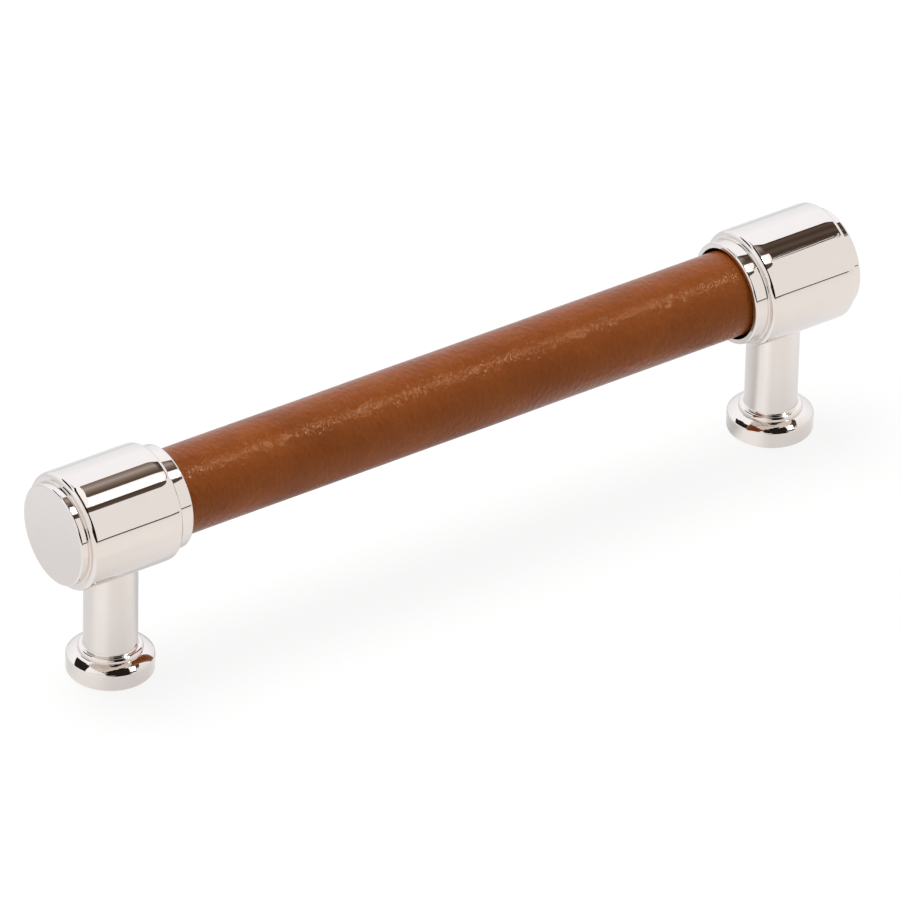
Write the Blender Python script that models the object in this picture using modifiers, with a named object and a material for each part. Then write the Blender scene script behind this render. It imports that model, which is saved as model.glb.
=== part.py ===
"""Cabinet pull: a leather-covered bar between two turned metal ends, on two round posts.

Metres, +Z up. The bar runs along X, the undersides of the two feet lie at Z = 0, and the
origin is midway between the feet.
"""
import math

import bmesh
import bpy

# The pull as a whole
CENTRE_DISTANCE = 0.128       # between the two post axes, a standard drilling pitch
AXIS_HEIGHT = 0.02875         # bar axis above the door
FIT_GAP = 0.0003              # left between faces that meet

# Bar, from its middle outwards
CORE_RADIUS = 0.00575
CORE_CHAMFER = 0.0004
CORE_END_LAND = 0.0025        # core left past its tapped hole
LEATHER_THICKNESS = 0.0011
SEAM_GAP = 0.0003             # between the two edges of the leather, underneath

# Turned end, from the leather outwards
MOUTH_GAP = 0.0005            # shadow line round the leather
MOUTH_DEPTH = 0.0027          # recess that hides the cut end of the leather
COLLAR_WALL = 0.00095
COLLAR_LENGTH = 0.00255
COLLAR_STEP = 0.00035         # flat ring between the collar and the drum's round
DRUM_ROUND = 0.0008           # rounded corner at each end of the drum
DRUM_LENGTH = 0.01675
DISC_STEP = 0.00055           # flat ring between the disc and the drum's round
DISC_HEIGHT = 0.0016
EDGE_ROUND = 0.0004           # small rounds on the disc and the lip
POST_SETBACK = 0.00935        # post axis back from the drum's outer end

# Post and foot, from the post outwards and from the door upwards
POST_RADIUS = 0.00435
POST_CHAMFER = 0.0003
SEAT_DEPTH = 0.0005           # how far the drum's side hides the top of the post
BASE_FILLET = 0.0003          # hollow round where the post meets its bead
BEAD_LAND = 0.00005
BEAD_ROUND = 0.00055          # rounded upper edge of the bead
BEAD_HEIGHT = 0.00085
LEDGE_WIDTH = 0.00015
SHOULDER_WIDTH = 0.00168      # sloping shoulder of the foot
SHOULDER_HEIGHT = 0.00098
RIM_ROUND = 0.0004            # between the shoulder and the upright side
FOOT_WALL = 0.00295           # upright side of the foot
SOLE_ROUND = 0.0005
SCREW_HOLE_RADIUS = 0.00165   # tapping size of the machine screw
SCREW_HOLE_CHAMFER = 0.0005
POST_WEB = 0.0022             # metal left between the screw hole and the stud hole

# Stud that ties post, drum and core together
STUD_RADIUS = 0.002
STUD_CHAMFER = 0.0004
STUD_IN_POST = 0.0063
STUD_IN_CORE = 0.007
KEY_FLATS = 0.002             # hexagon key across flats
KEY_DEPTH = 0.0022

# Fineness of the round shapes
DRUM_STEPS = 64
POST_STEPS = 48
STUD_STEPS = 24
CORNER_POINTS = 5
EDGE_POINTS = 3
SHARP_ANGLE = math.radians(28)
MERGE_DISTANCE = 0.000005
CUT_MARGIN = 0.001            # how far a cutter stands out of what it cuts

# Sizes that follow from the ones above
post_x = CENTRE_DISTANCE / 2
sleeve_inner = CORE_RADIUS + FIT_GAP
sleeve_radius = sleeve_inner + LEATHER_THICKNESS
mouth_radius = sleeve_radius + MOUTH_GAP
collar_radius = mouth_radius + COLLAR_WALL
drum_radius = collar_radius + COLLAR_STEP + DRUM_ROUND
disc_radius = drum_radius - DRUM_ROUND - DISC_STEP
socket_radius = CORE_RADIUS + FIT_GAP

stud_hole_radius = STUD_RADIUS + FIT_GAP
seat_radius = POST_RADIUS + FIT_GAP
seat_drop = math.sqrt(drum_radius ** 2 - seat_radius ** 2) - SEAT_DEPTH
post_top = AXIS_HEIGHT - seat_drop - FIT_GAP
stud_bottom = post_top - STUD_IN_POST
stud_top = AXIS_HEIGHT - CORE_RADIUS + STUD_IN_CORE
stud_hole_bottom = stud_bottom - FIT_GAP
screw_hole_top = stud_hole_bottom - POST_WEB

# Places along the bar, measured outwards from the post axis
drum_outer_end = POST_SETBACK
drum_inner_end = POST_SETBACK - DRUM_LENGTH
disc_face = drum_outer_end + DISC_HEIGHT
collar_mouth = drum_inner_end - COLLAR_LENGTH
mouth_floor = collar_mouth + MOUTH_DEPTH
core_end = stud_hole_radius + CORE_END_LAND
socket_floor = core_end + FIT_GAP

# Places up the post
shoulder_top = FOOT_WALL + SHOULDER_HEIGHT
bead_top = shoulder_top + BEAD_HEIGHT
bead_radius = POST_RADIUS + BASE_FILLET + BEAD_LAND + BEAD_ROUND
ledge_radius = bead_radius + LEDGE_WIDTH
foot_radius = ledge_radius + SHOULDER_WIDTH
slope_angle = math.atan2(SHOULDER_WIDTH, SHOULDER_HEIGHT)
rim_low = FOOT_WALL - RIM_ROUND * math.tan(slope_angle / 2)


def clear_scene():
    for old in list(bpy.data.objects):
        bpy.data.objects.remove(old, do_unlink=True)


def new_collection(name):
    collection = bpy.data.collections.new(name)
    bpy.context.scene.collection.children.link(collection)
    return collection


def principled(name, colour, metallic, roughness):
    material = bpy.data.materials.new(name)
    material.use_nodes = True
    shader = material.node_tree.nodes["Principled BSDF"]
    shader.inputs["Base Color"].default_value = (*colour, 1.0)
    shader.inputs["Metallic"].default_value = metallic
    shader.inputs["Roughness"].default_value = roughness
    material.diffuse_color = (*colour, 1.0)
    return material


def arc(centre, radii, start, stop, points):
    """Points (radius, height) along part of an ellipse; angles in degrees from outwards to up."""
    spread = [math.radians(start + (stop - start) * i / (points - 1)) for i in range(points)]
    return [(centre[0] + radii[0] * math.cos(a), centre[1] + radii[1] * math.sin(a)) for a in spread]


def turned(name, profile, steps, collection, sweep=math.tau, start=0.0):
    """Sweep a profile of (radius, height) points round the object's own Z axis."""
    mesh = bpy.data.meshes.new(name)
    points = [(radius * math.cos(start), radius * math.sin(start), height) for radius, height in profile]
    mesh.from_pydata(points, [(i, i + 1) for i in range(len(points) - 1)], [])
    obj = bpy.data.objects.new(name, mesh)
    collection.objects.link(obj)
    screw = obj.modifiers.new("Turn", "SCREW")
    screw.axis = "Z"
    screw.angle = sweep
    screw.steps = steps
    screw.render_steps = steps
    screw.use_merge_vertices = True
    screw.merge_threshold = MERGE_DISTANCE
    return obj


def prism(name, radius, low, high, sides, collection):
    """Upright prism or cylinder between two heights."""
    mesh = bpy.data.meshes.new(name)
    shape = bmesh.new()
    bmesh.ops.create_cone(
        shape, cap_ends=True, segments=sides, radius1=radius, radius2=radius, depth=high - low
    )
    bmesh.ops.translate(shape, verts=shape.verts, vec=(0.0, 0.0, (low + high) / 2))
    shape.to_mesh(mesh)
    shape.free()
    obj = bpy.data.objects.new(name, mesh)
    collection.objects.link(obj)
    return obj


def as_cutter(obj):
    obj.hide_render = True
    obj.display_type = "WIRE"
    return obj


def cut(obj, cutter):
    boolean = obj.modifiers.new("Cut " + cutter.name, "BOOLEAN")
    boolean.operation = "DIFFERENCE"
    boolean.solver = "EXACT"
    boolean.object = cutter


def settle(obj, material, root):
    """Keep the modified shape as the object's own mesh, smooth but for its real corners."""
    bpy.context.view_layer.update()
    shape = obj.evaluated_get(bpy.context.evaluated_depsgraph_get())
    mesh = bpy.data.meshes.new_from_object(shape)
    mesh.name = obj.name
    obj.modifiers.clear()
    obj.data = mesh
    mesh.materials.clear()
    mesh.materials.append(material)
    mesh.shade_smooth()
    mesh.set_sharp_from_angle(angle=SHARP_ANGLE)
    obj.parent = root


def core_rod(parts, cutters):
    """Solid rod with a tapped hole across it over each post."""
    reach = post_x + core_end
    profile = [
        (0.0, reach),
        (CORE_RADIUS - CORE_CHAMFER, reach),
        (CORE_RADIUS, reach - CORE_CHAMFER),
        (CORE_RADIUS, CORE_CHAMFER - reach),
        (CORE_RADIUS - CORE_CHAMFER, -reach),
        (0.0, -reach),
    ]
    rod = turned("core_rod", profile, DRUM_STEPS, parts)
    rod.location.z = AXIS_HEIGHT
    rod.rotation_euler.y = math.pi / 2
    for side, sign in (("left", -1), ("right", 1)):
        low = AXIS_HEIGHT - CORE_RADIUS - CUT_MARGIN
        high = stud_top + FIT_GAP
        hole = as_cutter(prism("core_hole_" + side, stud_hole_radius, low, high, STUD_STEPS, cutters))
        hole.location.x = sign * post_x
        cut(rod, hole)
    return rod


def leather_sleeve(parts):
    """Sheet rolled round the core, with its seam straight below the axis."""
    reach = post_x + mouth_floor - FIT_GAP
    seam_angle = SEAM_GAP / sleeve_radius
    line = [(sleeve_radius, reach), (sleeve_radius, -reach)]
    sweep = math.tau - seam_angle
    sleeve = turned("leather_sleeve", line, DRUM_STEPS, parts, sweep, seam_angle / 2)
    sleeve.location.z = AXIS_HEIGHT
    sleeve.rotation_euler.y = math.pi / 2
    skin = sleeve.modifiers.new("Leather thickness", "SOLIDIFY")
    skin.thickness = LEATHER_THICKNESS
    skin.offset = -1.0
    return sleeve


def end_cap(side, sign, parts, cutters):
    """Drum with its outer disc and inner collar, bored for the bar and seated for the post."""
    profile = [(0.0, disc_face)]
    profile += arc((disc_radius - EDGE_ROUND, disc_face - EDGE_ROUND), (EDGE_ROUND,) * 2, 90, 0, EDGE_POINTS)
    profile.append((disc_radius, drum_outer_end))
    inset = drum_radius - DRUM_ROUND
    profile += arc((inset, drum_outer_end - DRUM_ROUND), (DRUM_ROUND,) * 2, 90, 0, CORNER_POINTS)
    profile += arc((inset, drum_inner_end + DRUM_ROUND), (DRUM_ROUND,) * 2, 0, -90, CORNER_POINTS)
    profile.append((collar_radius, drum_inner_end))
    lip = (collar_radius - EDGE_ROUND, collar_mouth + EDGE_ROUND)
    profile += arc(lip, (EDGE_ROUND,) * 2, 0, -90, EDGE_POINTS)
    profile += [
        (mouth_radius, collar_mouth),
        (mouth_radius, mouth_floor),
        (socket_radius, mouth_floor),
        (socket_radius, socket_floor),
        (0.0, socket_floor),
    ]
    cap = turned("end_cap_" + side, profile, DRUM_STEPS, parts)
    cap.location = (sign * post_x, 0.0, AXIS_HEIGHT)
    cap.rotation_euler.y = sign * math.pi / 2

    seat_profile = [
        (0.0, -socket_radius / 2),
        (stud_hole_radius, -socket_radius / 2),
        (stud_hole_radius, -seat_drop),
        (seat_radius, -seat_drop),
        (seat_radius, -drum_radius - CUT_MARGIN),
        (0.0, -drum_radius - CUT_MARGIN),
    ]
    seat = as_cutter(turned("post_seat_" + side, seat_profile, POST_STEPS, cutters))
    seat.location = cap.location
    cut(cap, seat)
    return cap


def post(side, sign, parts):
    """Post and foot turned in one, tapped from above for the stud and from below for a screw."""
    hole_mouth = SCREW_HOLE_RADIUS + SCREW_HOLE_CHAMFER
    profile = [
        (0.0, stud_hole_bottom),
        (stud_hole_radius, stud_hole_bottom),
        (stud_hole_radius, post_top),
        (POST_RADIUS - POST_CHAMFER, post_top),
        (POST_RADIUS, post_top - POST_CHAMFER),
    ]
    hollow = (POST_RADIUS + BASE_FILLET, bead_top + BASE_FILLET)
    profile += arc(hollow, (BASE_FILLET,) * 2, 180, 270, CORNER_POINTS)
    bead = (bead_radius - BEAD_ROUND, bead_top - BEAD_ROUND)
    profile += arc(bead, (BEAD_ROUND,) * 2, 90, 0, CORNER_POINTS)
    profile += [
        (bead_radius, shoulder_top),
        (ledge_radius, shoulder_top),
    ]
    rim = (foot_radius - RIM_ROUND, rim_low)
    profile += arc(rim, (RIM_ROUND,) * 2, math.degrees(slope_angle), 0, CORNER_POINTS)
    sole = (foot_radius - SOLE_ROUND, SOLE_ROUND)
    profile += arc(sole, (SOLE_ROUND,) * 2, 0, -90, CORNER_POINTS)
    profile += [
        (hole_mouth, 0.0),
        (SCREW_HOLE_RADIUS, SCREW_HOLE_CHAMFER),
        (SCREW_HOLE_RADIUS, screw_hole_top),
        (0.0, screw_hole_top),
    ]
    column = turned("post_" + side, profile, POST_STEPS, parts)
    column.location.x = sign * post_x
    return column


def tie_stud(side, sign, parts, cutters):
    """Headless screw with a hexagon socket in its lower end."""
    profile = [
        (0.0, stud_top),
        (STUD_RADIUS - STUD_CHAMFER, stud_top),
        (STUD_RADIUS, stud_top - STUD_CHAMFER),
        (STUD_RADIUS, stud_bottom + STUD_CHAMFER),
        (STUD_RADIUS - STUD_CHAMFER, stud_bottom),
        (0.0, stud_bottom),
    ]
    stud = turned("tie_stud_" + side, profile, STUD_STEPS, parts)
    stud.location.x = sign * post_x
    corner_radius = KEY_FLATS / 2 / math.cos(math.radians(30))
    low = stud_bottom - CUT_MARGIN
    high = stud_bottom + KEY_DEPTH
    socket = as_cutter(prism("key_socket_" + side, corner_radius, low, high, 6, cutters))
    socket.location.x = sign * post_x
    cut(stud, socket)
    return stud


def build():
    clear_scene()
    parts = new_collection("cabinet_pull")
    cutters = new_collection("cabinet_pull_cutters")
    root = bpy.data.objects.new("cabinet_pull", None)
    parts.objects.link(root)

    leather = principled("tan leather", (0.27, 0.085, 0.028), 0.0, 0.5)
    cap_nickel = principled("polished nickel ends", (0.83, 0.79, 0.76), 1.0, 0.07)
    post_nickel = principled("polished nickel posts", (0.83, 0.79, 0.76), 1.0, 0.1)
    core_steel = principled("drawn steel core", (0.52, 0.51, 0.5), 1.0, 0.35)
    stud_steel = principled("blackened steel stud", (0.06, 0.06, 0.065), 1.0, 0.45)

    settle(core_rod(parts, cutters), core_steel, root)
    settle(leather_sleeve(parts), leather, root)
    for side, sign in (("left", -1), ("right", 1)):
        settle(end_cap(side, sign, parts, cutters), cap_nickel, root)
        settle(post(side, sign, parts), post_nickel, root)
        settle(tie_stud(side, sign, parts, cutters), stud_steel, root)


build()
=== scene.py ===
import math

import bpy
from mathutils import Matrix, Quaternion, Vector, noise


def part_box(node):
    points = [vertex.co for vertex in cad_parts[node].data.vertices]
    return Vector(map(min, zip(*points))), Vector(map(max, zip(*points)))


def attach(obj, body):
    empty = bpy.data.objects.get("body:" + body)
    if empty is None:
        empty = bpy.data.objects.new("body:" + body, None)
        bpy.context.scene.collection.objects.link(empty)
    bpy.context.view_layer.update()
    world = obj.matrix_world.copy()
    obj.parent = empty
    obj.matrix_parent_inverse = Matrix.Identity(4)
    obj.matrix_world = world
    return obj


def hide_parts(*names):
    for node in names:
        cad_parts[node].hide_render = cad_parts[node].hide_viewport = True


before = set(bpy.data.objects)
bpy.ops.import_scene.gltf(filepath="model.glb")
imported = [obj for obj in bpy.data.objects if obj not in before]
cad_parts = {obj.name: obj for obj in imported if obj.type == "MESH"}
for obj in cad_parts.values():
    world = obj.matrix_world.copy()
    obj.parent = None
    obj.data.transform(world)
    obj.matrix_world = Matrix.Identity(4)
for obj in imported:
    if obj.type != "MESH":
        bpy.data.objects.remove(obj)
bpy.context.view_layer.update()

mm = 0.001
print("frame loaded")


# places taken from the frame; the left end mirrors the right
capLow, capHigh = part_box("end_cap_right")
postLow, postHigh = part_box("post_right")
sleeveLow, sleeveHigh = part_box("leather_sleeve")
coreLow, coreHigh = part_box("core_rod")
studLow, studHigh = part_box("tie_stud_right")

barAxis = ((sleeveLow + sleeveHigh) / 2).z
postX = ((postLow + postHigh) / 2).x
drumRadius = (capHigh.z - capLow.z) / 2
leatherRadius = (sleeveHigh.z - sleeveLow.z) / 2
coreRadius = (coreHigh.z - coreLow.z) / 2
studRadius = (studHigh.x - studLow.x) / 2
footRadius = (postHigh.x - postLow.x) / 2


# colours and nodes
def hexColour(code):
    channels = [int(code[i:i + 2], 16) / 255 for i in (1, 3, 5)]
    linear = [c / 12.92 if c <= 0.04045 else ((c + 0.055) / 1.055) ** 2.4 for c in channels]
    return (*linear, 1.0)


def addNode(tree, kind, inputs=None, **settings):
    node = tree.nodes.new(kind)
    for name, value in settings.items():
        setattr(node, name, value)
    for socket, value in (inputs or {}).items():
        if isinstance(value, bpy.types.NodeSocket):
            tree.links.new(value, node.inputs[socket])
        else:
            node.inputs[socket].default_value = value
    return node


def newMaterial(name):
    material = bpy.data.materials.new(name)
    material.use_nodes = True
    tree = material.node_tree
    return material, tree, tree.nodes["Principled BSDF"]


def setRamp(node, stops):
    ramp = node.color_ramp
    while len(ramp.elements) < len(stops):
        ramp.elements.new(0.5)
    for element, (place, colour) in zip(ramp.elements, stops):
        element.position = place
        element.color = colour if len(colour) == 4 else (*colour, 1.0)
    return node


# Nickel plate on turned brass, buffed to a mirror: warm grey-white, with the faint rings of the
# lathe and a slow waviness from the buffing wheel that bends the edges of reflections.
nickelLook = {
    "colour": "#E6DDD6",
    "cloudColour": "#E2D9D2",
    "roughness": 0.01,
    "hazeRoughness": 0.02,
    "waveWidth": 5.0,         # mm
    "waveHeight": 0.00012,    # mm
    "rippleWidth": 0.3,       # mm, rings left by the lathe
    "rippleHeight": 0.0003,   # mm
    "cloudWidth": 3.0,        # mm
    # painted shade: a dark, dull colour inside the collar's mouth, where shade falls round the leather
    "recessPaintedShade": "#33291F",
    "recessRoughness": 0.6,
    "recessGap": 0.52,        # mm out from the leather, just past the collar's mouth
    "recessDepth": 2.8,       # mm in from the collar's lip
}


def polishedNickel(name, recess=None):
    # recess is (radius, height): nearer the axis and lower than that, the plate is dull and painted dark, a
    # painted shade for the shadowed gap in the collar's mouth
    material, tree, shader = newMaterial(name)
    shader.inputs["Metallic"].default_value = 1.0
    place = addNode(tree, "ShaderNodeTexCoord").outputs["Object"]
    cloud = addNode(tree, "ShaderNodeTexNoise", {
        "Vector": place, "Scale": 1 / (nickelLook["cloudWidth"] * mm), "Detail": 3.0})
    tint = addNode(tree, "ShaderNodeMix", {
        0: cloud.outputs[0], 6: hexColour(nickelLook["colour"]), 7: hexColour(nickelLook["cloudColour"])},
        data_type="RGBA")
    base = tint.outputs[2]
    haze = addNode(tree, "ShaderNodeMapRange", {
        0: cloud.outputs[0], 1: 0.3, 2: 0.7,
        3: nickelLook["roughness"], 4: nickelLook["hazeRoughness"]})
    rough = haze.outputs[0]
    wave = addNode(tree, "ShaderNodeTexNoise", {
        "Vector": place, "Scale": 1 / (nickelLook["waveWidth"] * mm), "Detail": 1.0})
    waves = addNode(tree, "ShaderNodeBump", {
        "Height": wave.outputs[0], "Strength": 1.0, "Distance": nickelLook["waveHeight"] * mm})
    # rings round the turning axis: the noise runs along it and outwards from it only
    axis = addNode(tree, "ShaderNodeSeparateXYZ", {0: place})
    flat = addNode(tree, "ShaderNodeVectorMath", {0: place, 1: (1.0, 1.0, 0.0)}, operation="MULTIPLY")
    reach = addNode(tree, "ShaderNodeVectorMath", {0: flat.outputs[0]}, operation="LENGTH")
    along = addNode(tree, "ShaderNodeMath", {0: axis.outputs[2], 1: reach.outputs[1]}, operation="SUBTRACT")
    ring = addNode(tree, "ShaderNodeTexNoise", {
        "W": along.outputs[0], "Scale": 1 / (nickelLook["rippleWidth"] * mm), "Detail": 2.0},
        noise_dimensions="1D")
    bump = addNode(tree, "ShaderNodeBump", {
        "Height": ring.outputs[0], "Normal": waves.outputs[0], "Strength": 1.0,
        "Distance": nickelLook["rippleHeight"] * mm})
    tree.links.new(bump.outputs[0], shader.inputs["Normal"])
    if recess:
        # painted shade: darkens the plate inside the collar's mouth
        near = addNode(tree, "ShaderNodeMath", {0: reach.outputs[1], 1: recess[0]}, operation="LESS_THAN")
        low = addNode(tree, "ShaderNodeMath", {0: axis.outputs[2], 1: recess[1]}, operation="LESS_THAN")
        inside = addNode(tree, "ShaderNodeMath", {0: near.outputs[0], 1: low.outputs[0]},
                         operation="MULTIPLY")
        base = addNode(tree, "ShaderNodeMix", {
            0: inside.outputs[0], 6: base, 7: hexColour(nickelLook["recessPaintedShade"])},
            data_type="RGBA").outputs[2]
        rough = addNode(tree, "ShaderNodeMix", {
            0: inside.outputs[0], 2: rough, 3: nickelLook["recessRoughness"]}).outputs[0]
    tree.links.new(base, shader.inputs["Base Color"])
    tree.links.new(rough, shader.inputs["Roughness"])
    return material


# Full-grain cowhide, dyed through and lightly waxed: saddle brown, with painted shade darkening the folds of
# its grain, which break the highlight along the bar into fine glints. The folds are drawn about
# twice as wide as real ones, so that they show.
leatherLook = {
    # the deep tone serves both as the cloud's darkest random tone and as the painted shade in the folds
    "deepToneAndFoldShade": "#743914",
    "mid": "#814118",
    "pale": "#88471C",
    "roughness": 0.16,
    "pebbleRoughness": 0.08,  # added between the pebbles
    "specular": 0.22,
    "waxTint": "#FFD9AE",
    "pebbleSize": 0.5,        # mm
    "pebbleShare": 0.12,      # of the grain's height
    "foldWidth": 0.7,         # mm, along the bar
    "foldLength": 1.1,        # mm, round it
    "foldShare": 2.0,         # of the grain's height
    "foldShadeFade": 0.65,         # how far the painted shade in the folds gives way to the dye's colour
    "creaseSize": 1.6,        # mm
    "creaseShift": 0.4,       # mm, how far creases bend the grain
    "grainHeight": 0.085,     # mm
    "cloudSize": 9.0,         # mm
}


def tanLeather(name):
    material, tree, shader = newMaterial(name)
    look = leatherLook
    place = addNode(tree, "ShaderNodeTexCoord").outputs["Object"]
    cloud = addNode(tree, "ShaderNodeTexNoise", {
        "Vector": place, "Scale": 1 / (look["cloudSize"] * mm), "Detail": 4.0})
    bend = addNode(tree, "ShaderNodeTexNoise", {
        "Vector": place, "Scale": 1 / (look["creaseSize"] * mm), "Detail": 2.0})
    shift = addNode(tree, "ShaderNodeVectorMath", {
        0: bend.outputs[1], 1: (look["creaseShift"] * mm,) * 3}, operation="MULTIPLY")
    bent = addNode(tree, "ShaderNodeVectorMath", {0: place, 1: shift.outputs[0]}, operation="ADD")
    pebble = addNode(tree, "ShaderNodeTexVoronoi", {
        "Vector": bent.outputs[0], "Scale": 1 / (look["pebbleSize"] * mm), "Randomness": 1.0},
        feature="DISTANCE_TO_EDGE")
    pebbleTop = addNode(tree, "ShaderNodeMapRange", {
        0: pebble.outputs[0], 1: 0.0, 2: 0.22, 3: 0.0, 4: 1.0}, interpolation_type="SMOOTHSTEP")
    ratio = look["foldWidth"] / look["foldLength"]
    drawn = addNode(tree, "ShaderNodeVectorMath", {0: bent.outputs[0], 1: (1.0, ratio, ratio)},
                    operation="MULTIPLY")
    fold = addNode(tree, "ShaderNodeTexNoise", {
        "Vector": drawn.outputs[0], "Scale": 1 / (look["foldWidth"] * mm), "Detail": 1.5, "Roughness": 0.5})
    height = addNode(tree, "ShaderNodeMath", {0: pebbleTop.outputs[0], 1: look["pebbleShare"]},
                     operation="MULTIPLY")
    height = addNode(tree, "ShaderNodeMath", {0: fold.outputs[0], 1: look["foldShare"], 2: height.outputs[0]},
                     operation="MULTIPLY_ADD")
    bump = addNode(tree, "ShaderNodeBump", {
        "Height": height.outputs[0], "Strength": 1.0, "Distance": look["grainHeight"] * mm})
    tree.links.new(bump.outputs[0], shader.inputs["Normal"])
    base = setRamp(addNode(tree, "ShaderNodeValToRGB", {0: cloud.outputs[0]}), [
        (0.3, hexColour(look["deepToneAndFoldShade"])), (0.52, hexColour(look["mid"])), (0.75, hexColour(look["pale"]))])
    # painted shade: the dips of the folds are coloured towards the deep tone, standing in for the shade in
    # the grain's creases
    foldShadeMask = addNode(tree, "ShaderNodeMapRange", {0: fold.outputs[0], 1: 0.36, 2: 0.64})
    high = addNode(tree, "ShaderNodeMix", {
        0: foldShadeMask.outputs[0], 6: hexColour(look["deepToneAndFoldShade"]), 7: base.outputs[0]}, data_type="RGBA")
    soft = addNode(tree, "ShaderNodeMix", {
        0: look["foldShadeFade"], 6: high.outputs[2], 7: base.outputs[0]}, data_type="RGBA")
    tree.links.new(soft.outputs[2], shader.inputs["Base Color"])
    rough = addNode(tree, "ShaderNodeMapRange", {
        0: pebbleTop.outputs[0], 3: look["roughness"] + look["pebbleRoughness"], 4: look["roughness"]})
    tree.links.new(rough.outputs[0], shader.inputs["Roughness"])
    shader.inputs["Specular IOR Level"].default_value = look["specular"]
    shader.inputs["Specular Tint"].default_value = hexColour(look["waxTint"])
    return material


# Cold-drawn steel bar: grey with fine scratches along its length, left as it came from the die.
steelLook = {
    "dark": "#8E8C89",
    "light": "#B4B2AE",
    "roughness": (0.28, 0.42),
    "scratchWidth": 0.15,    # mm
    "scratchStretch": 0.02,  # its width over its length
}


def drawnSteel(name):
    material, tree, shader = newMaterial(name)
    shader.inputs["Metallic"].default_value = 1.0
    place = addNode(tree, "ShaderNodeTexCoord").outputs["Object"]
    along = addNode(tree, "ShaderNodeVectorMath", {0: place, 1: (steelLook["scratchStretch"], 1.0, 1.0)},
                    operation="MULTIPLY")
    lines = addNode(tree, "ShaderNodeTexNoise", {
        "Vector": along.outputs[0], "Scale": 1 / (steelLook["scratchWidth"] * mm)})
    tone = setRamp(addNode(tree, "ShaderNodeValToRGB", {0: lines.outputs[0]}), [
        (0.35, hexColour(steelLook["dark"])), (0.65, hexColour(steelLook["light"]))])
    tree.links.new(tone.outputs[0], shader.inputs["Base Color"])
    smooth, scratched = steelLook["roughness"]
    rough = addNode(tree, "ShaderNodeMapRange", {0: lines.outputs[0], 3: smooth, 4: scratched})
    tree.links.new(rough.outputs[0], shader.inputs["Roughness"])
    return material


# Black-oxide steel screw: near-black with a faint oily mottle.
oxideLook = {
    "dark": "#2B2C2E",
    "light": "#3D3C3B",
    "roughness": (0.35, 0.5),
    "mottleSize": 0.4,  # mm
}


def blackOxide(name):
    material, tree, shader = newMaterial(name)
    shader.inputs["Metallic"].default_value = 1.0
    place = addNode(tree, "ShaderNodeTexCoord").outputs["Object"]
    mottle = addNode(tree, "ShaderNodeTexNoise", {
        "Vector": place, "Scale": 1 / (oxideLook["mottleSize"] * mm), "Detail": 4.0})
    tone = setRamp(addNode(tree, "ShaderNodeValToRGB", {0: mottle.outputs[0]}), [
        (0.35, hexColour(oxideLook["dark"])), (0.65, hexColour(oxideLook["light"]))])
    tree.links.new(tone.outputs[0], shader.inputs["Base Color"])
    oiled, dry = oxideLook["roughness"]
    rough = addNode(tree, "ShaderNodeMapRange", {0: mottle.outputs[0], 3: oiled, 4: dry})
    tree.links.new(rough.outputs[0], shader.inputs["Roughness"])
    return material


materials = {
    "ends": polishedNickel("polishedNickelTurnedEnds", (
        leatherRadius + nickelLook["recessGap"] * mm, capLow.x - postX + nickelLook["recessDepth"] * mm)),
    "posts": polishedNickel("polishedNickelTurnedPosts"),
    "leather": tanLeather("waxedTanCowhide"),
    "core": drawnSteel("coldDrawnSteelBar"),
    "stud": blackOxide("blackOxideSteelScrew"),
}
print("materials made")


# shaping
def roundedPath(corners, stepAngle=6.0):
    # corners are (radius, height, rounding); each rounding becomes an arc, held flat either side
    points = [Vector(corners[0][:2])]
    for i in range(1, len(corners) - 1):
        here = Vector(corners[i][:2])
        before = (Vector(corners[i - 1][:2]) - here).normalized()
        after = (Vector(corners[i + 1][:2]) - here).normalized()
        rounding = corners[i][2]
        turn = math.pi - before.angle(after)
        if rounding <= 0 or turn < 1e-4:
            points.append(here)
            continue
        reach = rounding * math.tan(turn / 2)
        centre = here + (before + after).normalized() * (rounding / math.cos(turn / 2))
        first = here + before * reach - centre
        side = 1 if first.x * (here - centre).y - first.y * (here - centre).x > 0 else -1
        steps = max(4, math.ceil(math.degrees(turn) / stepAngle))
        hold = min(rounding * 0.04, 0.01 * mm)
        points.append(here + before * (reach + hold))
        for k in range(steps + 1):
            a = side * turn * k / steps
            points.append(centre + Vector((first.x * math.cos(a) - first.y * math.sin(a),
                                           first.x * math.sin(a) + first.y * math.cos(a))))
        points.append(here + after * (reach + hold))
    points.append(Vector(corners[-1][:2]))
    return points


def lathe(name, path, steps=256):
    # spins the path round the object's own Z
    mesh = bpy.data.meshes.new(name)
    mesh.from_pydata([(p.x, 0.0, p.y) for p in path], [(i, i + 1) for i in range(len(path) - 1)], [])
    piece = bpy.data.objects.new(name, mesh)
    bpy.context.scene.collection.objects.link(piece)
    turn = piece.modifiers.new("turn", "SCREW")
    turn.axis = "Z"
    turn.steps = steps
    turn.render_steps = steps
    turn.use_merge_vertices = True
    turn.merge_threshold = 0.0005 * mm
    return piece


def cutAway(piece, cutter):
    cut = piece.modifiers.new("cut", "BOOLEAN")
    cut.operation = "DIFFERENCE"
    cut.solver = "EXACT"
    cut.object = cutter


def settle(piece, material, sharpDegrees=35):
    # applies the modifiers and shades the result smooth, apart from real corners
    bpy.context.view_layer.update()
    shown = piece.evaluated_get(bpy.context.evaluated_depsgraph_get())
    mesh = bpy.data.meshes.new_from_object(shown)
    mesh.name = piece.name
    cutters = [m.object for m in piece.modifiers if m.type == "BOOLEAN"]
    piece.modifiers.clear()
    piece.data = mesh
    for cutter in cutters:
        bpy.data.objects.remove(cutter)
    mesh.materials.clear()
    mesh.materials.append(material)
    mesh.shade_smooth()
    mesh.set_sharp_from_angle(angle=math.radians(sharpDegrees))
    return piece


def keep(piece, node):
    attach(piece, "root")
    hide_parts(node)


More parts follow.
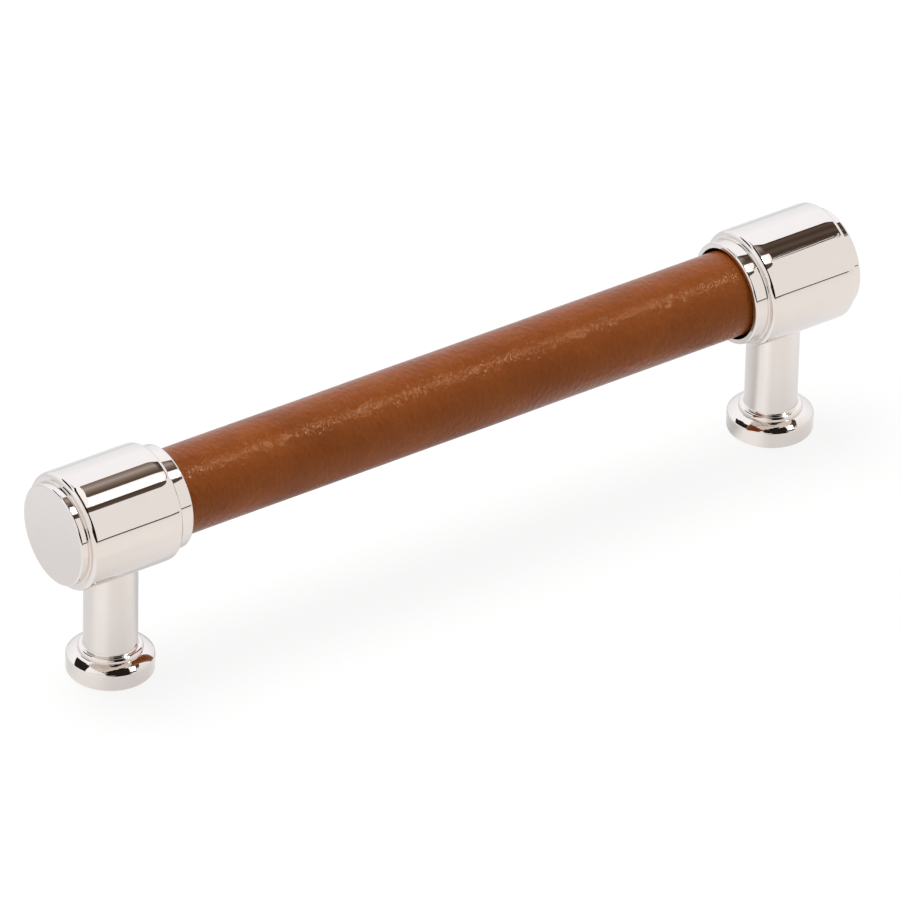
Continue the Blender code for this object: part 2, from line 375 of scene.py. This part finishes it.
# turned ends
capShape = {  # mm
    "discHeight": 1.6,
    "discInset": 1.35,      # disc radius under the drum's
    "discEdge": 0.42,
    "cornerRound": 0.8,     # the drum's shoulders
    "grooveRound": 0.2,     # inside corners at the foot of the disc and the collar
    "collarLength": 2.55,
    "collarInset": 1.15,
    "collarEase": 0.036,    # how much narrower the collar is at its lip
    "collarRound": 58.0,    # the long soft curve that this gives it
    "lipRound": 0.4,
    "mouthGap": 0.5,
    "mouthRound": 0.12,
    "mouthDepth": 2.7,
    "fit": 0.04,            # fine joint line round the post
}
# where buffing has eased the drum towards its shoulders
drumEase = {  # mm from the end where it starts and stops, and the slope it reaches in degrees
    "outer": (2.1, 0.82, 2.3),
    "inner": (2.4, 0.85, 2.6),
}


def drumShoulder(end, outward, ease):
    # the drum leans in slightly before its corner rounds over
    start, stop, degrees = ease
    middle = (start + stop) / 2 * mm
    reach = (start - stop) / 2 * mm
    slope = math.radians(degrees)
    return [
        (drumRadius - middle * math.tan(slope), end, capShape["cornerRound"] * mm),
        (drumRadius, end - outward * middle, reach / math.tan(slope / 2)),
    ]


def makeCap(side, sign):
    s = {key: value * mm for key, value in capShape.items()}
    face = capHigh.x - postX
    mouth = capLow.x - postX
    drumOuter = face - s["discHeight"]
    drumInner = mouth + s["collarLength"]
    discRadius = drumRadius - s["discInset"]
    collarRadius = drumRadius - s["collarInset"]
    mouthRadius = leatherRadius + s["mouthGap"]
    boreRadius = coreRadius + s["fit"]
    boreFloor = coreHigh.x - postX + s["fit"]
    corners = [(0.0, face, 0), (discRadius, face, s["discEdge"]), (discRadius, drumOuter, s["grooveRound"])]
    corners += drumShoulder(drumOuter, 1, drumEase["outer"])
    corners += reversed(drumShoulder(drumInner, -1, drumEase["inner"]))
    corners += [
        (collarRadius, drumInner, s["grooveRound"]),
        (collarRadius, drumInner - s["collarLength"] / 2, s["collarRound"]),
        (collarRadius - s["collarEase"], mouth, s["lipRound"]),
        (mouthRadius, mouth, s["mouthRound"]),
        (mouthRadius, mouth + s["mouthDepth"], 0),
        (boreRadius, mouth + s["mouthDepth"], 0),
        (boreRadius, boreFloor, 0),
        (0.0, boreFloor, 0),
    ]
    cap = lathe("endCap" + side, roundedPath(corners))
    cap.location = (sign * postX, 0, barAxis)
    cap.rotation_euler.y = sign * math.pi / 2

    # seat for the post and clearance for the stud, cut from below
    seatTop = postHigh.z + s["fit"] - barAxis
    below = -drumRadius - 1 * mm
    seatRadius = postRadius + s["fit"]
    studHole = studRadius + s["fit"]
    seat = lathe("seat" + side, [Vector(p) for p in (
        (0, -coreRadius / 2), (studHole, -coreRadius / 2), (studHole, seatTop),
        (seatRadius, seatTop), (seatRadius, below), (0, below))], 128)
    seat.location = cap.location
    cutAway(cap, seat)
    settle(cap, materials["ends"])
    keep(cap, "end_cap_" + side.lower())


# posts
postShape = {  # mm
    "radius": 4.35,
    "topRound": 0.1,
    "filletTop": 4.78,     # where the fillet under the post meets the bead
    "fillet": 0.3,
    "bead": 5.25,
    "beadRound": 0.55,
    "beadRise": 0.02,
    "beadFootRound": 0.04,
    "ledgeRound": 0.1,
    "domeTop": 5.4,        # radius and height where the foot's dome starts
    "domeTopHeight": 3.93,
    "domeFootHeight": 2.95,
    "domeBulge": 0.1,
    "domeRound": 1.6,
    "cornerRound": 0.4,
    "soleRound": 0.55,
    "screwHole": 1.65,
    "screwChamfer": 0.5,
    "screwDepth": 11.6,
}
postRadius = postShape["radius"] * mm


def makePost(side, sign):
    s = {key: value * mm for key, value in postShape.items()}
    fit = capShape["fit"] * mm
    studHole = studRadius + fit
    # the dome is a shallow arc from the bead's foot out to the rim
    dome = []
    start = Vector((s["domeTop"], s["domeTopHeight"]))
    end = Vector((footRadius, s["domeFootHeight"]))
    outward = Vector((start.y - end.y, end.x - start.x)).normalized()
    for k in range(1, 12):
        t = k / 12
        point = start.lerp(end, t) + outward * s["domeBulge"] * 4 * t * (1 - t)
        dome.append((point.x, point.y, s["domeRound"]))
    post = lathe("post" + side, roundedPath([
        (0.0, studLow.z - fit, 0),
        (studHole, studLow.z - fit, 0),
        (studHole, postHigh.z, 0),
        (postRadius, postHigh.z, s["topRound"]),
        (postRadius, s["filletTop"], s["fillet"]),
        (s["bead"], s["filletTop"], s["beadRound"]),
        (s["bead"], s["domeTopHeight"] + s["beadRise"], s["beadFootRound"]),
        (s["domeTop"], s["domeTopHeight"], s["ledgeRound"]),
        *dome,
        (footRadius, s["domeFootHeight"], s["cornerRound"]),
        (footRadius, 0.0, s["soleRound"]),
        (s["screwHole"] + s["screwChamfer"], 0.0, 0),
        (s["screwHole"], s["screwChamfer"], 0),
        (s["screwHole"], s["screwDepth"], 0),
        (0.0, s["screwDepth"], 0),
    ]), 192)
    post.location.x = sign * postX
    settle(post, materials["posts"])
    keep(post, "post_" + side.lower())


# leather sleeve
sleeveShape = {  # mm
    "thickness": 1.1,
    "seamGap": 0.12,
    "seamRound": 0.5,
    "seamDip": 0.16,
    "unevenHeight": 0.03,
    "unevenSize": 11.0,
    "around": 168,     # steps
    "along": 300,      # steps
}


def makeSleeve():
    s = sleeveShape
    around, along = s["around"], s["along"]
    half = sleeveHigh.x
    gap = s["seamGap"] * mm / leatherRadius
    verts, faces = [], []
    for i in range(along + 1):
        x = -half + 2 * half * i / along
        for j in range(around + 1):
            a = -math.pi / 2 + gap / 2 + (math.tau - gap) * j / around
            fromSeam = min(j, around - j) / around * math.tau * leatherRadius
            dip = s["seamDip"] * mm * math.exp(-(fromSeam / (s["seamRound"] * mm)) ** 2)
            here = Vector((x, math.cos(a) * leatherRadius, math.sin(a) * leatherRadius))
            uneven = noise.noise(here / (s["unevenSize"] * mm)) * s["unevenHeight"] * mm
            radius = leatherRadius - dip - s["unevenHeight"] * mm + uneven
            verts.append((x, -math.cos(a) * radius, barAxis + math.sin(a) * radius))
    row = around + 1
    for i in range(along):
        for j in range(around):
            a = i * row + j
            faces.append((a, a + row, a + row + 1, a + 1))
    mesh = bpy.data.meshes.new("leatherSleeve")
    mesh.from_pydata(verts, [], faces)
    sleeve = bpy.data.objects.new("leatherSleeve", mesh)
    bpy.context.scene.collection.objects.link(sleeve)
    skin = sleeve.modifiers.new("thickness", "SOLIDIFY")
    skin.thickness = s["thickness"] * mm
    skin.offset = -1.0
    settle(sleeve, materials["leather"], 50)
    keep(sleeve, "leather_sleeve")


makeCap("Left", -1)
makeCap("Right", 1)
print("turned ends made")
makePost("Left", -1)
makePost("Right", 1)
print("posts made")
makeSleeve()
print("leather wrapped")
for node, key in (("core_rod", "core"), ("tie_stud_left", "stud"), ("tie_stud_right", "stud")):
    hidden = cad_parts[node]
    hidden.data.materials.clear()
    hidden.data.materials.append(materials[key])


# stage
stageLook = {
    "floorColour": "#F6F4F2",
    "floorSize": 1.6,         # m, half its side
    "floorDrop": 0.02,        # mm under the feet
    "floorGlow": 0.86,        # share of the floor's white that isn't lit, as the camera sees it
    "mirrorGlow": 0.8,        # the same, as the metal sees it
    "floorBack": 0.86,        # how bright the metal sees the floor well behind the pull
    "barShade": 0.55,         # how much the bar darkens the floor right under it
    "roomFront": 1.0,         # how bright the metal sees the room in front of the pull
    "roomBackLow": 1.08,      # behind the pull, near the floor
    "roomBackHigh": 1.31,     # behind it and high up
    "roomTurn": (-0.2, 0.3),  # Y of the view's direction where front gives way to back
    "roomRise": (0.0, 0.55),  # and its Z where low gives way to high
    "backColour": "#F3F8FF",
    "fill": 0.46,             # light that the room gives
    "lamp": 8.2,              # W
    "lampPlace": (-0.1, 0.2, 0.88),  # m
    "lampSize": 0.7,          # m
    "cardDistance": 0.9,      # m
    "ceiling": 2100,          # mm over the bar
}

# where each tone of the floor starts and stops
floorReach = {  # m
    "tint": (-0.04, 0.03),        # along Y, from white to the room's faint blue
    "back": (0.045, 0.09),        # along Y
    "post": (0.045, 0.065),       # round each post
    "barMiddle": 0.005,           # Y of the bar's shade
    "barAside": (0.008, 0.036),   # to each side of that
    "barEnd": (0.018, 0.034),     # along X
    "white": (0.12, 0.5),         # from the middle out, to plain white
}


def stagePatch(name, corners, distance, colour, strength):
    # part of a dome round the pull, by azimuth and elevation in degrees
    verts = []
    for azimuth, elevation in corners:
        a, e = math.radians(azimuth), math.radians(elevation)
        verts.append((distance * math.sin(a) * math.cos(e), -distance * math.cos(a) * math.cos(e),
                      barAxis + distance * math.sin(e)))
    mesh = bpy.data.meshes.new(name)
    mesh.from_pydata(verts, [], [tuple(range(len(verts)))])
    stageCard(bpy.data.objects.new(name, mesh), colour, strength)


def stageFlat(name, outline, height, colour, strength):
    # a level card over the pull, outlined in millimetres
    mesh = bpy.data.meshes.new(name)
    mesh.from_pydata([(x * mm, y * mm, barAxis + height * mm) for x, y in outline], [],
                     [tuple(range(len(outline)))])
    stageCard(bpy.data.objects.new(name, mesh), colour, strength)


def toneDown(tree, across, stops):
    # colours by millimetres along one axis
    low, high = stops[0][0], stops[-1][0]
    place = addNode(tree, "ShaderNodeMapRange", {0: across, 1: low * mm, 2: high * mm})
    return setRamp(addNode(tree, "ShaderNodeValToRGB", {0: place.outputs[0]}), [
        ((at - low) / (high - low), hexColour(code)) for at, code in stops]).outputs[0]


def stageCard(card, colour, strength):
    # seen only in reflections; colour is one hex code, or two lists of tones along Y and the range
    # of X over which the first gives way to the second
    bpy.context.scene.collection.objects.link(card)
    material, tree, shader = newMaterial(card.name)
    tree.nodes.remove(shader)
    if isinstance(colour, str):
        colour = hexColour(colour)
    else:
        near, far, change = colour
        place = addNode(tree, "ShaderNodeSeparateXYZ", {
            0: addNode(tree, "ShaderNodeTexCoord").outputs["Object"]}).outputs
        turn = addNode(tree, "ShaderNodeMapRange", {0: place[0], 1: change[0] * mm, 2: change[1] * mm})
        colour = addNode(tree, "ShaderNodeMix", {
            0: turn.outputs[0], 6: toneDown(tree, place[1], near), 7: toneDown(tree, place[1], far)},
            data_type="RGBA").outputs[2]
    glow = addNode(tree, "ShaderNodeEmission", {"Color": colour, "Strength": strength})
    tree.links.new(glow.outputs[0], tree.nodes["Material Output"].inputs[0])
    card.data.materials.append(material)
    card.visible_camera = False
    card.visible_diffuse = False
    card.visible_shadow = False
    card.visible_transmission = False


# camera, placed by fitting the pull's outline in the photograph
cameraPlace = {
    "azimuth": -35.404,   # degrees, as are the next two
    "elevation": 33.158,
    "roll": 1.344,
    "distance": 2018.6,   # mm
    "lens": 507.5,        # mm, as are those below
    "target": (0.0, 0.0, 14.4),
    "aside": 0.52,        # target moved to frame the pull as the photograph does
    "upward": 3.03,
}


# what a post mirrors of the white table round it, by the turn from the camera's side in degrees
postShades = {
    -1: [(-150, 0.8), (-88, 0.88), (-45, 1.07), (-26, 1.07), (10, 0.9), (40, 0.89), (100, 1.03), (140, 0.66)],
    1: [(-150, 0.83), (-115, 0.82), (-72, 0.65), (-45, 1.2), (-28, 1.24), (5, 0.94), (40, 0.93),
        (100, 1.03), (145, 0.92)],
}


def postTones(tree, place, sign, level):
    # multiplies the floor's level by the shades of one post
    near, far = floorReach["post"]
    away = addNode(tree, "ShaderNodeVectorMath", {0: place, 1: (sign * postX, 0.0, 0.0)},
                   operation="SUBTRACT")
    turned = addNode(tree, "ShaderNodeVectorRotate", {
        "Vector": away.outputs[0], "Angle": math.radians(90 - cameraPlace["azimuth"])},
        rotation_type="Z_AXIS")
    around = addNode(tree, "ShaderNodeTexGradient", {0: turned.outputs[0]}, gradient_type="RADIAL")
    # a ramp holds at most 1, so the shades are halved in it and doubled by the fade
    tone = setRamp(addNode(tree, "ShaderNodeValToRGB", {0: around.outputs[0]}), [
        (0.5 + degrees / 360, (shade / 2,) * 3) for degrees, shade in postShades[sign]])
    tone.color_ramp.interpolation = "EASE"
    distance = addNode(tree, "ShaderNodeVectorMath", {0: away.outputs[0]}, operation="LENGTH")
    fade = addNode(tree, "ShaderNodeMapRange", {0: distance.outputs[1], 1: near, 2: far, 3: 2.0, 4: 0.0})
    shade = addNode(tree, "ShaderNodeMath", {0: tone.outputs[0], 1: fade.outputs[0]}, operation="MULTIPLY")
    rest = addNode(tree, "ShaderNodeMapRange", {0: fade.outputs[0], 1: 0.0, 2: 2.0, 3: 1.0, 4: 0.0})
    total = addNode(tree, "ShaderNodeMath", {0: shade.outputs[0], 1: rest.outputs[0]}, operation="ADD")
    return addNode(tree, "ShaderNodeMath", {0: total.outputs[0], 1: level}, operation="MULTIPLY").outputs[0]


def makeFloor():
    size, reach = stageLook["floorSize"], floorReach
    mesh = bpy.data.meshes.new("floor")
    mesh.from_pydata([(-size, -size, 0), (size, -size, 0), (size, size, 0), (-size, size, 0)], [],
                     [(0, 1, 2, 3)])
    floor = bpy.data.objects.new("floor", mesh)
    bpy.context.scene.collection.objects.link(floor)
    floor.location.z = -stageLook["floorDrop"] * mm
    material, tree, shader = newMaterial("whiteSweep")
    shader.inputs["Base Color"].default_value = hexColour(stageLook["floorColour"])
    shader.inputs["Roughness"].default_value = 0.9
    shader.inputs["Specular IOR Level"].default_value = 0.0
    rays = addNode(tree, "ShaderNodeLightPath")
    white = addNode(tree, "ShaderNodeEmission", {"Color": hexColour("#FFFFFF"), "Strength": 1.0})
    place = addNode(tree, "ShaderNodeTexCoord").outputs["Object"]
    axis = addNode(tree, "ShaderNodeSeparateXYZ", {0: place}).outputs
    behind = addNode(tree, "ShaderNodeMapRange", {0: axis[1], 1: reach["tint"][0], 2: reach["tint"][1]})
    tint = addNode(tree, "ShaderNodeMix", {
        0: behind.outputs[0], 6: hexColour("#FFFFFF"), 7: hexColour(stageLook["backColour"])},
        data_type="RGBA")
    dim = addNode(tree, "ShaderNodeMapRange", {
        0: axis[1], 1: reach["back"][0], 2: reach["back"][1], 3: 1.0, 4: stageLook["floorBack"]})
    level = dim.outputs[0]
    for sign in (-1, 1):
        level = postTones(tree, place, sign, level)
    beside = addNode(tree, "ShaderNodeMath", {0: axis[1], 1: reach["barMiddle"]}, operation="SUBTRACT")
    beside = addNode(tree, "ShaderNodeMath", {0: beside.outputs[0]}, operation="ABSOLUTE")
    beside = addNode(tree, "ShaderNodeMapRange", {
        0: beside.outputs[0], 1: reach["barAside"][0], 2: reach["barAside"][1], 3: 1.0, 4: 0.0})
    under = addNode(tree, "ShaderNodeMath", {0: axis[0]}, operation="ABSOLUTE")
    under = addNode(tree, "ShaderNodeMapRange", {
        0: under.outputs[0], 1: reach["barEnd"][0], 2: reach["barEnd"][1], 3: stageLook["barShade"], 4: 0.0})
    shade = addNode(tree, "ShaderNodeMath", {0: beside.outputs[0], 1: under.outputs[0]},
                    operation="MULTIPLY")
    rest = addNode(tree, "ShaderNodeMath", {0: 1.0, 1: shade.outputs[0]}, operation="SUBTRACT")
    level = addNode(tree, "ShaderNodeMath", {0: level, 1: rest.outputs[0]}, operation="MULTIPLY")
    cool = addNode(tree, "ShaderNodeEmission", {"Color": tint.outputs[2], "Strength": level.outputs[0]})
    distance = addNode(tree, "ShaderNodeVectorMath", {0: place}, operation="LENGTH")
    glow = addNode(tree, "ShaderNodeMapRange", {
        0: distance.outputs[1], 1: reach["white"][0], 2: reach["white"][1],
        3: stageLook["floorGlow"], 4: 1.0})
    seen = addNode(tree, "ShaderNodeMixShader", {
        0: glow.outputs[0], 1: shader.outputs[0], 2: white.outputs[0]})
    mirrored = addNode(tree, "ShaderNodeMixShader", {
        0: stageLook["mirrorGlow"], 1: shader.outputs[0], 2: cool.outputs[0]})
    plain = addNode(tree, "ShaderNodeMixShader", {
        0: rays.outputs["Is Camera Ray"], 1: shader.outputs[0], 2: seen.outputs[0]})
    whole = addNode(tree, "ShaderNodeMixShader", {
        0: rays.outputs["Is Glossy Ray"], 1: plain.outputs[0], 2: mirrored.outputs[0]})
    tree.links.new(whole.outputs[0], tree.nodes["Material Output"].inputs[0])
    floor.data.materials.append(material)


def makeWorld():
    look = stageLook
    world = bpy.data.worlds.new("paleRoom")
    bpy.context.scene.world = world
    world.use_nodes = True
    tree = world.node_tree
    tree.nodes.clear()
    rays = addNode(tree, "ShaderNodeLightPath")
    direction = addNode(tree, "ShaderNodeSeparateXYZ", {
        0: addNode(tree, "ShaderNodeTexCoord").outputs["Generated"]})
    side = addNode(tree, "ShaderNodeMapRange", {
        0: direction.outputs[1], 1: look["roomTurn"][0], 2: look["roomTurn"][1]})
    high = addNode(tree, "ShaderNodeMapRange", {
        0: direction.outputs[2], 1: look["roomRise"][0], 2: look["roomRise"][1],
        3: look["roomBackLow"], 4: look["roomBackHigh"]})
    level = addNode(tree, "ShaderNodeMix", {0: side.outputs[0], 2: look["roomFront"], 3: high.outputs[0]})
    fill = addNode(tree, "ShaderNodeBackground", {"Color": hexColour("#FFFFFF"), "Strength": look["fill"]})
    tint = addNode(tree, "ShaderNodeMix", {
        0: side.outputs[0], 6: hexColour("#FFFFFF"), 7: hexColour(look["backColour"])}, data_type="RGBA")
    room = addNode(tree, "ShaderNodeBackground", {"Color": tint.outputs[2], "Strength": level.outputs[0]})
    white = addNode(tree, "ShaderNodeBackground", {"Color": hexColour("#FFFFFF"), "Strength": 1.0})
    lit = addNode(tree, "ShaderNodeMixShader", {
        0: rays.outputs["Is Glossy Ray"], 1: fill.outputs[0], 2: room.outputs[0]})
    shown = addNode(tree, "ShaderNodeMixShader", {
        0: rays.outputs["Is Camera Ray"], 1: lit.outputs[0], 2: white.outputs[0]})
    addNode(tree, "ShaderNodeOutputWorld", {0: shown.outputs[0]})


def makeLight(name, place, size, power):
    light = bpy.data.lights.new(name, "AREA")
    light.shape = "DISK"
    light.size = size
    light.energy = power
    lamp = bpy.data.objects.new(name, light)
    bpy.context.scene.collection.objects.link(lamp)
    lamp.location = place
    lamp.rotation_euler = (Vector((0, 0, barAxis)) - Vector(place)).to_track_quat("-Z", "Y").to_euler()
    lamp.visible_glossy = False
    lamp.visible_camera = False


makeFloor()
makeWorld()
makeLight("overheadSoft", stageLook["lampPlace"], stageLook["lampSize"], stageLook["lamp"])

# what a polished pull sees of the studio: a dark room to the right of the camera, a dark doorway to
# the left, a black ceiling, and over its right-hand end brown slats beside a soft box, which is
# brightest in its middle
stagePatch("darkRoomRight", [
    (16, -0.6), (16, 20), (16, 40), (16, 56), (0, 58), (-20, 60), (-41, 60), (-39, 57), (-27, 50), (-23, 46),
    (-23, 37), (-33, 25), (-50, 11), (-41, 5), (-24, 1.5), (-10, -0.6)],
    stageLook["cardDistance"], "#1E1A18", 1.0)
stagePatch("darkDoorwayLeft", [
    (-110, 44), (-122, 36), (-138, 31), (-166, 39), (-158, 52), (-140, 62)],
    stageLook["cardDistance"], "#2A2522", 1.0)
stagePatch("tableEdge", [
    (16, 0.3), (16, -2.8), (30, -2.8), (36, -2.0), (36, -0.4), (30, 0.3)],
    stageLook["cardDistance"], "#5A4038", 1.0)
# tones of the slats by millimetres along Y, as each end of the pull sees them
woodShadow, woodPlain, woodLit, paleGap = "#4A3D35", "#62554C", "#8E7D70", "#B2ACAA"
slatsLeft = [(-1600, woodPlain), (-1000, woodShadow), (-100, woodPlain), (150, woodLit), (360, paleGap),
             (650, woodLit)]
slatsRight = [(-1600, woodPlain), (-400, woodShadow), (-200, woodPlain), (100, woodShadow),
              (400, woodPlain), (510, woodShadow)]
# and their ragged near edge
slatsFray = {
    "count": 60,
    "start": 1342,     # mm along X
    "step": 5.0,       # mm
    "middle": -740,    # mm along Y
    "depth": 420,      # mm
    "rate": 0.63,      # how fast it wanders, a step
}
frayed = []
for k in range(slatsFray["count"]):
    jump = noise.noise(Vector((k * slatsFray["rate"], 0.4, 0.7)))
    frayed.append((slatsFray["start"] + slatsFray["step"] * k,
                   slatsFray["middle"] + slatsFray["depth"] * jump))
stageFlat("ceilingBlack", [
    (-922, -1060), (-922, -1500), (632, -1560), (900, -1466), (900, -1001), (780, -1001), (780, -252),
    (840, 300), (930, 780), (860, 1150), (640, 1200), (520, 1000), (300, 560), (-395, 450), (-474, 255)],
    stageLook["ceiling"], "#262220", 1.0)
stageFlat("slats", [
    (900, -1466), (1275, -1466), (1350, -1380), (1395, -1250), (1392, -1120), (1354, -1001), (1338, -850),
    *frayed, (1645, -400), (1640, 350), (1560, 500), (1400, 585), (1335, 600), (1260, 660), (1180, 740),
    (1125, 785), (1060, 790), (1000, 735), (950, 0), (936, -190), (948, -270), (900, -270)],
    stageLook["ceiling"] - 10, (slatsLeft, slatsRight, (1150, 1230)), 1.0)
stageFlat("overheadSoftbox", [
    (780, -1001), (1335, -1001), (1318, -640), (1276, -300), (1262, -252), (966, -252), (936, -190), (950, 0),
    (1000, 735), (1020, 775), (930, 770), (840, 300), (780, -252)],
    stageLook["ceiling"] - 20, "#FFFFFF", 1.25)
stageFlat("softboxMiddle", [
    (960, -870), (1250, -870), (1225, -620), (1180, -390), (960, -390)],
    stageLook["ceiling"] - 30, "#FFFFFF", 36.0)
print("stage set")


def makeCamera():
    c = cameraPlace
    azimuth, elevation = math.radians(c["azimuth"]), math.radians(c["elevation"])
    back = Vector((math.sin(azimuth) * math.cos(elevation), -math.cos(azimuth) * math.cos(elevation),
                   math.sin(elevation)))
    data = bpy.data.cameras.new("camera")
    camera = bpy.data.objects.new("camera", data)
    bpy.context.scene.collection.objects.link(camera)
    data.lens = c["lens"]
    data.sensor_width = 36
    data.clip_start = 0.05
    data.clip_end = 20
    camera.rotation_mode = "QUATERNION"
    camera.rotation_quaternion = back.to_track_quat("Z", "Y") @ Quaternion((0, 0, 1), math.radians(c["roll"]))
    right = camera.rotation_quaternion @ Vector((1, 0, 0))
    up = camera.rotation_quaternion @ Vector((0, 1, 0))
    target = Vector(c["target"]) * mm + right * c["aside"] * mm + up * c["upward"] * mm
    camera.location = target + back * c["distance"] * mm
    bpy.context.scene.camera = camera


makeCamera()
bpy.context.scene.view_settings.view_transform = "Standard"
print("camera placed")
